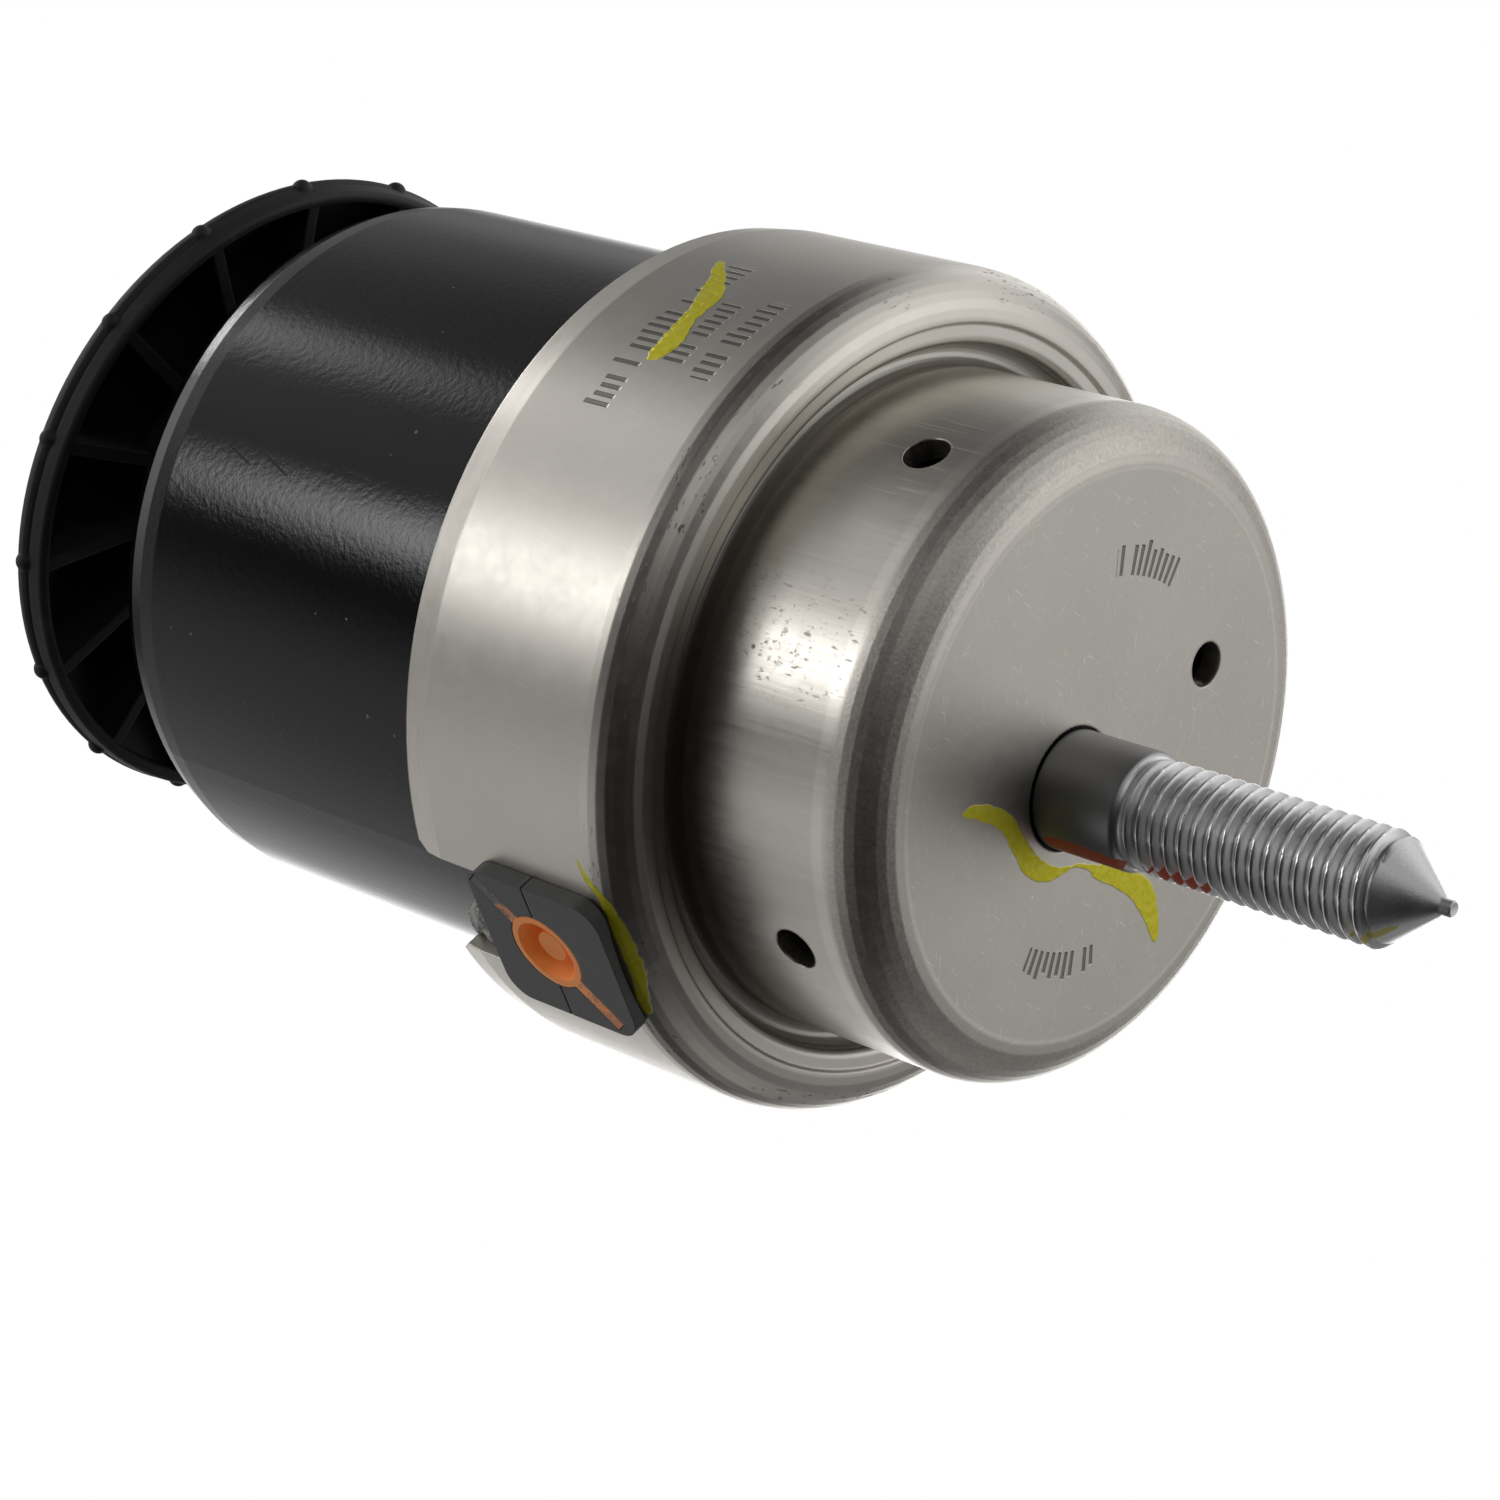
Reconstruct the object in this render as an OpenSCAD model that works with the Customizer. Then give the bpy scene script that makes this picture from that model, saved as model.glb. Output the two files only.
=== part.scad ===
// Hydraulic engine mount, upright as it is fitted: the stud points down and the rubber disc is on top.
// The origin is on the stud's axis, in the plane of the seat face. The pad on the ring faces +X.
// All sizes are in millimetres.

/* [Stud] */
// Nominal diameter of the thread
thread_d = 12; // [8:0.5:12.5]
// Diameter of the plain shank above the thread
shank_d = 12.8; // [11:0.1:13.2]
// Diameter of the stud where it goes through the cup
pilot_d = 13.4; // [13:0.1:15.4]
// Length of the plain shank below the seat
shank_l = 10.2; // [6:0.2:20]
// Length of the thread
thread_l = 30; // [20:1:45]
// Diameter where the cone point starts
point_d = 10.8; // [6:0.2:11.6]
// Length of the cone point
point_l = 5.5; // [3:0.5:10]
// Diameter of the small round tip
tip_d = 1.7; // [1:0.1:3]
// Length of the small round tip
tip_l = 1.1; // [0.5:0.1:2]
// Diameter of the head inside the cup
stud_head_d = 30; // [24:1:34]
// Thickness of the head inside the cup
stud_head_t = 4; // [3:0.5:5]
// Distance from the stud to the mount's own axis
stud_offset = 5.2; // [0:0.2:8]

/* [Lower shell] */
// Outer radius of the large ring
ring_r = 47; // [45:0.5:52]
// Thickness of the drawn sheet
shell_t = 2.5; // [2:0.1:2.8]
// How far the cup is stepped in from the ring's outside
cup_step = 10.4; // [9.8:0.1:12]
// Outer corner radius of the cup
cup_corner_r = 5.5; // [4:0.5:8]
// Height of the ring's underside above the seat
shoulder_z = 24.3; // [22:0.5:34]
// Outer radius of the ring's shoulder
shoulder_r = 5; // [3.5:0.5:5.5]
// Height of the shallow step on the ring's underside
land_step = 0.35; // [0.1:0.05:0.6]
// Width of the outer band on the ring's underside
land_w = 0.8; // [0.4:0.1:1]
// Radius of the groove round the neck
groove_r = 1.2; // [0.9:0.1:1.3]
// Straight depth of the groove below its round end
groove_depth = 0.45; // [0.2:0.05:1]
// Radius of the rounded lip beside the groove
lip_r = 1; // [0.6:0.1:1.1]
// Height of the ring above its underside
ring_h = 31.2; // [29:0.5:40]
// Height of the turned band at the rim
band_h = 3.5; // [1:0.5:4]
// How far the turned band leans in
band_lean = 0.4; // [0.2:0.1:1.4]
// Width of the notch in the rim
notch_w = 13.4; // [10:0.2:20]
// Chamfer at the notch's upper corners
notch_chamfer = 1.2; // [0.2:0.1:2]
// Depth of the notch below the rim
notch_depth = 11.5; // [8:0.5:14]

/* [Vent and drain holes] */
// Diameter of each hole
vent_d = 5; // [3:0.5:7]
// Height of the side holes above the seat
vent_z = 12; // [9:0.5:20]
// Number of side holes
vent_count = 4; // [1:1:8]
// Distance from the mount's axis to the hole in the face
face_vent_r = 18.7; // [16:0.1:27]
// Angle of the hole in the face, from the pad
face_vent_angle = 185.4; // [120:0.2:240]

/* [Upper can] */
// How far the can is stepped in from the ring's outside
can_step = 5.6; // [4.8:0.1:9]
// Thickness of the can
can_t = 2; // [1.2:0.1:2.6]
// Height of the can above its flange's lower face
can_h = 69.2; // [60:1:90]
// Outer radius of the can's top corner
can_corner_r = 12; // [6:0.5:14]
// Width of the flat round the opening in the can's top
mouth_flat = 3.4; // [2:0.2:6]
// Fillet between the can and its flange
can_fillet_r = 1.5; // [0.5:0.1:2]

/* [Fluid stack] */
// Thickness of the ring under the diaphragm
bellows_ring_t = 2.15; // [1.5:0.05:4]
// Thickness of the diaphragm's clamped bead
bead_t = 3.5; // [2.5:0.5:5]
// Thickness of the diaphragm itself
bellows_t = 1.8; // [1:0.1:2.4]
// How far the diaphragm hangs below its ring
bellows_drop = 18.8; // [14:0.2:19.4]
// Outer radius of the diaphragm's lower fold
fold_r = 5; // [4:0.5:7]
// Thickness of the lower channel plate
lower_plate_t = 3.5; // [3:0.5:6]
// Thickness of the upper channel plate
upper_plate_t = 5; // [4.5:0.5:9]
// Depth of the decoupler's pocket in each plate
pocket_depth = 1.4; // [0.8:0.1:1.8]
// Radius of the decoupler's pocket
pocket_r = 19; // [16:0.5:22]
// Clearance all round the decoupler
decoupler_gap = 0.15; // [0.1:0.05:0.4]
// Diameter of each grille hole
grille_d = 4.4; // [3:0.2:5]
// Radius of the outer row of grille holes
grille_r = 13; // [11.5:0.5:14]
// Inner radius of the fluid channel
channel_r = 26.5; // [25:0.5:29]
// Width of the fluid channel
channel_w = 7; // [4:0.5:8]
// Depth of the fluid channel
channel_depth = 3; // [2:0.5:3.5]
// Thickness of the flat seal
seal_t = 1; // [0.5:0.25:2]
// Radial width of the flat seal
seal_w = 4; // [2:0.5:5]

/* [Main spring] */
// Thickness of the spring ring's flange
spring_flange_t = 2; // [1:0.5:3]
// Thickness of the spring ring's wall
spring_wall_t = 2; // [1:0.5:3]
// Height of the spring ring above its flange's lower face
spring_ring_h = 21; // [14:1:26]
// Height of the fluid chamber under the core
chamber_h = 18; // [12:1:24]
// Thickness of the rubber skin under the core
skin_t = 2; // [1:0.5:4]
// How far the rubber stops below the core's flange
bond_margin = 2; // [0.5:0.5:6]

/* [Core] */
// Radius of the core's lower end
core_low_r = 11; // [8:0.5:14]
// Radius of the core at the top of its cone
core_top_r = 21; // [18:0.5:23]
// Radius of the core's flange
core_flange_r = 24; // [23:0.5:28]
// Thickness of the core's flange
core_flange_t = 4; // [2:0.5:6]
// Radius of the core's neck
neck_r = 16; // [15.5:0.5:18]
// Height of the rebound rubber
bumper_h = 8; // [4:0.5:12]
// Outer radius of the rebound rubber
bumper_r = 30; // [28:0.5:33]
// Free travel between the rebound rubber and the can's top
rebound_gap = 6; // [2:0.5:8]
// How far the boss leans from the mount's axis, in degrees
lean_angle = 9.3; // [0:0.1:12]
// Direction in which the boss leans, from the pad, in degrees
lean_direction = 120; // [0:5:355]
// Depth of the point of lean below the can's top
lean_depth = 1.7; // [0:0.1:6]
// Radius of the boss above the neck
boss_r = 15.4; // [15:0.1:15.6]
// Radius of the boss where it carries the dust cover
spigot_r = 14; // [12.5:0.5:14.5]
// Diameter of the threaded hole
hole_d = 10.2; // [6:0.1:12.4]
// Depth of the threaded hole
hole_depth = 26; // [15:1:34]
// Depth of the countersink at the mouth of the threaded hole
countersink = 0.8; // [0.3:0.1:1.2]
// Height of the boss above the retainer
boss_proud = 0.4; // [0.2:0.1:3]
// Diameter of the locating pin
pin_d = 4; // [2:0.5:4.5]
// Distance from the boss's axis to the locating pin
pin_place = 10; // [9:0.25:11]
// Depth of the locating pin in the boss
pin_depth = 8; // [4:1:12]
// Height of the locating pin above the boss
pin_proud = 4; // [2:0.5:8]

/* [Dust cover] */
// Outer radius of the cover's rim
cover_r = 40; // [38:0.5:46]
// Distance from the point of lean to the cover's front plane
cover_front = 11.5; // [11:0.5:20]
// Overall depth of the cover
cover_depth = 11; // [8:0.5:16]
// Depth from the front plane to the widest part of the rim
cover_belly = 3.8; // [3.4:0.1:4.5]
// How far the cover's flat back is stepped in from its rim
cover_step = 8.5; // [6:0.5:12]
// How far the rim's wall leans in towards the front
rim_lean = 0.5; // [0:0.1:1]
// Thickness of the rim's lip
lip_t = 1.6; // [1.2:0.1:2]
// Thickness of the cover's floor
floor_t = 2; // [1.2:0.2:3]
// Outer radius of the hub
hub_r = 19; // [17:0.5:23]
// Depth of the hub's front face behind the front plane
hub_depth = 3; // [1:0.5:5]
// Number of ribs, and of nibs on the rim
rib_count = 16; // [8:1:24]
// Thickness of each rib
rib_t = 1.6; // [1:0.1:3]
// Depth of the ribs' edge behind the front plane
rib_depth = 1.3; // [1:0.1:3]
// Radius of each nib
nib_r = 1.3; // [0.8:0.1:2]
// How far each nib stands proud of the rim
nib_proud = 0.6; // [0.3:0.1:1]
// Depth of the mould line round the rim
mould_line = 0.3; // [0.1:0.05:0.6]
// Outer radius of the retainer on the cover
retainer_r = 20; // [17:0.5:24]
// Thickness of the retainer
retainer_t = 1.4; // [0.8:0.1:3]

/* [Side pad] */
// Width of the pad round the ring
pad_w = 18; // [14:0.5:20]
// Height of the pad
pad_h = 19.2; // [15:0.2:20]
// Corner radius of the pad
pad_corner_r = 3; // [1:0.25:4]
// Thickness of the pad at its middle
pad_t = 1.1; // [1:0.1:4]
// Height of the plug's axis below the rim
pad_below_rim = 18.1; // [17.5:0.1:22]
// How far the middle of the pad's outline is below the plug's axis
pad_drop = 0.7; // [0:0.1:1.5]
// Width of the split between the pad's halves
split_w = 0.2; // [0.1:0.05:0.4]
// Radius of the orange plug
plug_r = 4.7; // [3.5:0.1:6]
// Width of the plug's diagonal arms
arm_w = 1.7; // [1:0.1:2.5]
// Depth of the plug's arms in the pad
arm_t = 0.6; // [0.3:0.1:0.8]
// Distance from the plug's axis to the end of each arm
arm_reach = 11; // [7:0.5:11.5]
// Radius of the recess in the plug at its mouth
recess_r = 3.9; // [3:0.1:4.4]
// Radius of the recess at its bottom
recess_low_r = 2.9; // [2.2:0.1:3.4]
// Depth of the recess
recess_depth = 2.4; // [1:0.1:3]
// Radius of the post in the recess
post_r = 1.9; // [1:0.1:2.1]
// Depth of the post's end behind the plug's face
post_below = 0.9; // [0.3:0.1:1.5]

/* [Clearances] */
// Gap between pieces that slide together at assembly
fit_gap = 0.1; // [0.05:0.05:0.2]
// Gap left where pieces are seated on a round ridge
seat_gap = 0.05; // [0:0.05:0.2]

/* [Hidden] */
$fn = 96;
// Segments in the curve behind the thin pad
fine = 480;
// Segments in a quarter round of a profile
quarter = 8;
// Small overlap that lets cuts pass cleanly through a face
cut = 0.5;

// Radii of the shell
cup_r = ring_r - cup_step;
ring_in = ring_r - shell_t;

// Heights of the shell
inner_land_z = shoulder_z + land_step;
lip_z = inner_land_z + lip_r;
groove_z = lip_z + groove_depth;
groove_x = cup_r + groove_r;
ridge_r = groove_r + shell_t;
shell_floor_z = shoulder_z + shell_t;
rim_z = shoulder_z + ring_h;
// Angle at which the groove's inner bulge meets the ring's floor
ridge_angle = asin((shell_floor_z - groove_z) / ridge_r);
// Radius that the pieces of the stack share
stack_r = ring_in - fit_gap;

// Heights of the stack, each piece on the one below
bellows_ring_z = groove_z + ridge_r + seat_gap;
bead_z = bellows_ring_z + bellows_ring_t;
lower_plate_z = bead_z + bead_t;
upper_plate_z = lower_plate_z + lower_plate_t;
seal_z = upper_plate_z + upper_plate_t;
spring_flange_z = seal_z + seal_t;
can_z = spring_flange_z + spring_flange_t;

// Radii of the can and of the ring inside it
can_r = ring_r - can_step;
can_in = can_r - can_t;
mouth_r = can_r - can_corner_r - mouth_flat;
spring_wall_r = can_in - fit_gap;
spring_in = spring_wall_r - spring_wall_t;
spring_top_z = spring_flange_z + spring_ring_h;
can_top_z = can_z + can_h;

// Distance from the can's outside to the middle of the weld's beads
weld_reach = 2.2;

// Heights of the core, counted down from the can's top
bumper_z = can_top_z - can_t - rebound_gap - bumper_h;
core_flange_z = bumper_z - core_flange_t;
core_low_z = seal_z + chamber_h + skin_t;
core_slope = (core_top_r - core_low_r) / (core_flange_z - core_low_z);
bond_z = core_flange_z - bond_margin;
lean_z = can_top_z - lean_depth;

// Distances along the leaning boss, counted up from the point of lean
hub_low = cover_front + hub_depth;
hub_high = cover_front + cover_depth;
boss_top = hub_high + retainer_t + boss_proud;
// How far the boss runs into the neck below the point of lean
boss_root = 2;

// The dust cover's sloping wall
cover_back_r = cover_r - cover_step;
cover_floor_r = cover_back_r - 1.5;
cover_floor_y = cover_depth - floor_t;

// The diaphragm's profile
membrane_r = cup_r - shell_t - 0.6;
fold_z = bellows_ring_z - bellows_drop + fold_r;
fold_x = membrane_r - fold_r;
dome_r = 4;
dome_x = fold_x - fold_r - dome_r;
bellows_ring_in = membrane_r + 1.5;

// The stud's ends, and its place under the mount's axis
thread_z = -shank_l;
point_z = thread_z - thread_l;
tip_z = point_z - point_l;

// The pad
pad_z = rim_z - pad_below_rim;
pad_face = ring_r + pad_t;
plug_low = ring_in + 0.1;

// Points of an arc about (x, y), from angle a to angle b
function arc(x, y, r, a, b) =
    [for (i = [0:quarter]) let (t = a + (b - a) * i / quarter) [x + r * cos(t), y + r * sin(t)]];

// Points of a curve from p to r that leaves towards q and arrives from it
function bend(p, q, r) =
    [for (i = [0:quarter]) let (t = i / quarter)
        p * (1 - t) * (1 - t) + q * 2 * t * (1 - t) + r * t * t];

// Radius of the core's cone at height z
function core_r(z) = core_low_r + core_slope * (z - core_low_z);

// Puts its children on the mount's own axis
module on_axis() {
    translate([-stud_offset, 0, 0])
        children();
}

// Puts its children on the leaning axis of the boss, with z counted from the point of lean
module on_lean() {
    translate([-stud_offset, 0, lean_z])
        rotate([0, 0, lean_direction])
        rotate([0, lean_angle, 0])
        rotate([0, 0, -lean_direction])
        children();
}

// Puts its children on the pad's axis, with z counted outwards from the mount's axis
module on_pad() {
    translate([-stud_offset, 0, pad_z])
        rotate([0, 90, 0])
        children();
}

module revolve(points) {
    rotate_extrude()
        polygon(points);
}

// Flat ring between two radii
module washer(low, outer, inner, thick) {
    revolve([[inner, low], [outer, low], [outer, low + thick], [inner, low + thick]]);
}

module shell_profile() {
    land_x = groove_x + groove_r + lip_r;
    shoulder_x = ring_r - shoulder_r;
    polygon(concat(
        [[0, 0]],
        arc(cup_r - cup_corner_r, cup_corner_r, cup_corner_r, -90, 0),
        arc(groove_x, groove_z, groove_r, 180, 0),
        arc(land_x, lip_z, lip_r, 180, 270),
        [[shoulder_x - land_w, inner_land_z], [shoulder_x - land_w + land_step, shoulder_z]],
        arc(shoulder_x, shoulder_z + shoulder_r, shoulder_r, -90, 0),
        [[ring_r, rim_z - band_h], [ring_r - band_lean, rim_z], [ring_in, rim_z]],
        arc(shoulder_x, shoulder_z + shoulder_r, shoulder_r - shell_t, 0, -90),
        arc(groove_x, groove_z, ridge_r, ridge_angle, 180),
        arc(cup_r - cup_corner_r, cup_corner_r, cup_corner_r - shell_t, 0, -90),
        [[0, shell_t]]));
}

// The notch's outline, seen from the pad's side, runs out past the rim
module rim_notch() {
    half = notch_w / 2;
    flare = notch_chamfer + cut;
    translate([can_r, 0, rim_z])
        rotate([90, 0, 90])
        linear_extrude(ring_r - can_r + cut)
        polygon([[-half, -notch_depth], [half, -notch_depth], [half, -notch_chamfer], [half + flare, cut],
            [-half - flare, cut], [-half, -notch_chamfer]]);
}

module lower_shell() {
    color("#a8a39b")
        difference() {
            on_axis()
                difference() {
                    rotate_extrude()
                        shell_profile();
                    rim_notch();
                    for (i = [0:vent_count - 1])
                        rotate([0, 0, i * 360 / vent_count])
                            translate([cup_r - shell_t - cut, 0, vent_z])
                            rotate([0, 90, 0])
                            cylinder(d = vent_d, h = shell_t + 2 * cut);
                    rotate([0, 0, face_vent_angle])
                        translate([face_vent_r, 0, -cut])
                        cylinder(d = vent_d, h = shell_t + 2 * cut);
                    translate([ring_in - cut, 0, pad_z])
                        rotate([0, 90, 0])
                        cylinder(r = plug_r + fit_gap, h = shell_t + 2 * cut);
                }
            translate([0, 0, -cut])
                cylinder(d = pilot_d + fit_gap, h = shell_t + 2 * cut);
        }
}

module stud() {
    color("#6f7073")
        union() {
            translate([0, 0, shell_t])
                cylinder(d = stud_head_d, h = stud_head_t);
            cylinder(d = pilot_d, h = shell_t + cut);
            translate([0, 0, thread_z])
                cylinder(d = shank_d, h = shank_l + cut);
            translate([0, 0, point_z])
                cylinder(d = thread_d, h = thread_l);
            translate([0, 0, tip_z])
                cylinder(d1 = tip_d, d2 = point_d, h = point_l);
            translate([0, 0, tip_z - tip_l])
                cylinder(d = tip_d, h = tip_l);
        }
}

module upper_can() {
    corner_x = can_r - can_corner_r;
    corner_z = can_top_z - can_corner_r;
    color("#141414")
        on_axis()
        revolve(concat(
            [[can_in, can_z], [stack_r, can_z], [stack_r, can_z + can_t]],
            arc(can_r + can_fillet_r, can_z + can_t + can_fillet_r, can_fillet_r, 270, 180),
            arc(corner_x, corner_z, can_corner_r, 0, 90),
            [[mouth_r, can_top_z], [mouth_r, can_top_z - can_t]],
            arc(corner_x, corner_z, can_corner_r - can_t, 90, 0)));
}

module core() {
    color("#8c8e90")
        difference() {
            union() {
                on_axis()
                    revolve([[0, core_low_z], [core_low_r, core_low_z], [core_top_r, core_flange_z],
                        [core_flange_r, core_flange_z], [core_flange_r, bumper_z], [neck_r, bumper_z],
                        [neck_r, lean_z], [0, lean_z]]);
                on_lean()
                    translate([0, 0, -boss_root])
                    cylinder(r = boss_r, h = boss_root + hub_low);
                on_lean()
                    cylinder(r = spigot_r, h = boss_top);
            }
            on_lean()
                translate([0, 0, boss_top - hole_depth])
                cylinder(d = hole_d, h = hole_depth + cut);
            on_lean()
                translate([0, 0, boss_top - countersink])
                cylinder(d1 = hole_d, d2 = hole_d + 2 * countersink + 2 * cut, h = countersink + cut);
            on_lean()
                translate([-pin_place, 0, boss_top - pin_depth])
                cylinder(d = pin_d + seat_gap, h = pin_depth + cut);
        }
}

module locating_pin() {
    color("#b9bbbd")
        on_lean()
        translate([-pin_place, 0, boss_top - pin_depth])
        union() {
            cylinder(d = pin_d, h = pin_depth + pin_proud - pin_d / 8);
            translate([0, 0, pin_depth + pin_proud - pin_d / 8])
                cylinder(d1 = pin_d, d2 = pin_d * 3 / 4, h = pin_d / 8);
        }
}

module main_spring() {
    low_z = core_low_z - skin_t;
    color("#1d1d1e")
        on_axis()
        revolve(concat(
            [[0, low_z]],
            bend([core_low_r, low_z], [spring_in - 8, low_z], [spring_in - 2, spring_flange_z + 1]),
            [[spring_in, spring_flange_z + 1], [spring_in, spring_top_z]],
            bend([spring_in - 1, spring_top_z], [core_r(bond_z) + 3, spring_top_z + 8], [core_r(bond_z), bond_z]),
            [[core_low_r, core_low_z], [0, core_low_z]]));
}

module spring_ring() {
    color("#7d7f82")
        on_axis()
        revolve([[spring_in, spring_flange_z], [stack_r, spring_flange_z], [stack_r, can_z],
            [spring_wall_r, can_z], [spring_wall_r, spring_top_z], [spring_in, spring_top_z]]);
}

module rebound_bumper() {
    edge = 2;
    color("#1d1d1e")
        on_axis()
        revolve(concat(
            [[neck_r + fit_gap, bumper_z], [core_flange_r, bumper_z]],
            arc(bumper_r - edge, bumper_z + edge, edge, -90, 0),
            arc(bumper_r - edge, bumper_z + bumper_h - edge, edge, 0, 90),
            [[neck_r + edge, bumper_z + bumper_h], [neck_r + fit_gap, bumper_z + bumper_h - edge]]));
}

// Grille holes over the decoupler: one in the middle and two rows round it
module grille(low, high) {
    translate([0, 0, low])
        cylinder(d = grille_d, h = high - low);
    for (row = [[grille_r / 2, 6], [grille_r, 12]])
        for (i = [0:row[1] - 1])
            rotate([0, 0, i * 360 / row[1]])
                translate([row[0], 0, low])
                cylinder(d = grille_d, h = high - low);
}

module track_lower() {
    color("#9b9da0")
        on_axis()
        difference() {
            washer(lower_plate_z, stack_r, 0, lower_plate_t);
            translate([0, 0, upper_plate_z - pocket_depth])
                cylinder(r = pocket_r, h = pocket_depth + cut);
            grille(lower_plate_z - cut, upper_plate_z);
            rotate([0, 0, 20])
                translate([channel_r + channel_w / 2, 0, lower_plate_z - cut])
                cylinder(d = channel_w - 1, h = lower_plate_t + 2 * cut);
        }
}

module track_upper() {
    color("#a4a6a9")
        on_axis()
        difference() {
            washer(upper_plate_z, stack_r, 0, upper_plate_t);
            translate([0, 0, upper_plate_z - cut])
                cylinder(r = pocket_r, h = pocket_depth + cut);
            grille(upper_plate_z, seal_z + cut);
            rotate([0, 0, 10])
                rotate_extrude(angle = 340)
                translate([channel_r, upper_plate_z - cut])
                square([channel_w, channel_depth + cut]);
            rotate([0, 0, -20])
                translate([channel_r + channel_w / 2, 0, upper_plate_z - cut])
                cylinder(d = channel_w - 1, h = upper_plate_t + 2 * cut);
        }
}

module decoupler() {
    color("#232324")
        on_axis()
        washer(upper_plate_z - pocket_depth + decoupler_gap, pocket_r - decoupler_gap, 0,
            2 * pocket_depth - 2 * decoupler_gap);
}

module track_seal() {
    color("#232324")
        on_axis()
        washer(seal_z, stack_r, stack_r - seal_w, seal_t);
}

module bellows() {
    inner_fold = fold_r - bellows_t;
    color("#202021")
        on_axis()
        revolve(concat(
            [[stack_r, bead_z], [bellows_ring_in, bead_z], [membrane_r, bead_z - 1.5]],
            arc(fold_x, fold_z, fold_r, 0, -180),
            arc(dome_x, fold_z + dome_r / 2, dome_r, 0, 90),
            [[0, fold_z + dome_r * 3 / 2], [0, fold_z + dome_r * 3 / 2 + bellows_t]],
            arc(dome_x, fold_z + dome_r / 2, dome_r + bellows_t, 90, 0),
            arc(fold_x, fold_z, inner_fold, -180, 0),
            [[membrane_r - bellows_t, bead_z], [bellows_ring_in, lower_plate_z], [stack_r, lower_plate_z]]));
}

module bellows_ring() {
    color("#85878a")
        on_axis()
        washer(bellows_ring_z, stack_r, bellows_ring_in, bellows_ring_t);
}

// Profile of the cover, with y counted back from its front plane
module cover_profile() {
    lip_x = cover_r - rim_lean - lip_t / 2;
    line_y = cover_belly * 4 / 5;
    line_x = cover_r - rim_lean / 2;
    wall_in = cover_r - rim_lean - lip_t;
    slope_top = [cover_r - 0.8, cover_belly + 1.8];
    back_edge = [cover_back_r, cover_depth];
    polygon(concat(
        [[spigot_r + fit_gap / 2, hub_depth], [hub_r - 1, hub_depth], [hub_r, hub_depth + 1],
            [hub_r, cover_floor_y - 1], [hub_r + 1, cover_floor_y], [cover_floor_r, cover_floor_y],
            [wall_in, cover_belly]],
        arc(lip_x, lip_t, lip_t / 2, 180, 360),
        [[line_x, line_y - mould_line], [line_x - mould_line, line_y], [line_x, line_y + mould_line]],
        bend([cover_r, cover_belly], [cover_r, cover_belly + 1], slope_top),
        bend(back_edge + (slope_top - back_edge) / 6, back_edge, back_edge - [1.4, 0]),
        [[spigot_r + fit_gap / 2, cover_depth]]));
}

module dust_cover() {
    rib_out = cover_r - rim_lean - lip_t / 2;
    color("#171717")
        on_lean()
        translate([0, 0, cover_front])
        union() {
            rotate_extrude()
                cover_profile();
            for (i = [0:rib_count - 1])
                rotate([0, 0, i * 360 / rib_count])
                    translate([0, rib_t / 2, 0])
                    rotate([90, 0, 0])
                    linear_extrude(rib_t)
                    polygon([[hub_r - 0.5, hub_depth + 1.2], [rib_out, rib_depth], [rib_out, cover_belly],
                        [cover_floor_r, cover_floor_y + 0.5], [hub_r - 0.5, cover_floor_y + 0.5]]);
            for (i = [0:rib_count - 1])
                rotate([0, 0, i * 360 / rib_count])
                    translate([cover_r + nib_proud - nib_r, 0, cover_belly])
                    sphere(r = nib_r, $fn = 32);
        }
}

module cover_retainer() {
    color("#6c6e71")
        on_lean()
        washer(hub_high, retainer_r, spigot_r + fit_gap / 2, retainer_t);
}

// Outline of the pad, with x down the mount and y round the ring
module pad_outline() {
    x = pad_h / 2 - pad_corner_r;
    y = pad_w / 2 - pad_corner_r;
    square([pad_h, 2 * y], center = true);
    square([2 * x, pad_w], center = true);
    for (i = [-1, 1])
        for (j = [-1, 1])
            translate([i * x, j * y])
                circle(r = pad_corner_r);
}

module arms(width, reach, low, high) {
    rotate([0, 0, -45])
        translate([-reach, -width / 2, low])
        cube([2 * reach, width, high - low]);
}

// One half of the pad: side is 1 for the half nearer the rim and -1 for the other
module pad_half(side) {
    low = ring_r - pad_w;
    difference() {
        on_pad()
            difference() {
                linear_extrude(pad_face)
                    translate([pad_drop, 0])
                    pad_outline();
                cylinder(r = plug_r + fit_gap, h = pad_face + cut);
                arms(arm_w + fit_gap, arm_reach + fit_gap, pad_face - arm_t, pad_face + cut);
                translate([-side * split_w / 2 - (side < 0 ? pad_h : 0), -pad_w, low - pad_w])
                    cube([pad_h, 2 * pad_w, 3 * pad_w]);
            }
        on_axis()
            cylinder(r = ring_r + seat_gap, h = rim_z, $fn = fine);
    }
}

module side_plate_upper() {
    color("#3a3a3b")
        pad_half(1);
}

module side_plate_lower() {
    color("#3a3a3b")
        pad_half(-1);
}

module side_plug() {
    color("#dc7832")
        on_pad()
        difference() {
            union() {
                translate([0, 0, plug_low])
                    cylinder(r = plug_r, h = pad_face - plug_low);
                arms(arm_w, arm_reach, pad_face - arm_t + seat_gap, pad_face);
            }
            translate([0, 0, pad_face - recess_depth])
                cylinder(r1 = recess_low_r, r2 = recess_r, h = recess_depth);
            translate([0, 0, pad_face])
                cylinder(r = recess_r, h = cut);
        }
}

module side_plug_pin() {
    color("#c9692b")
        on_pad()
        translate([0, 0, pad_face - recess_depth])
        cylinder(r = post_r, h = recess_depth - post_below);
}

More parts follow.
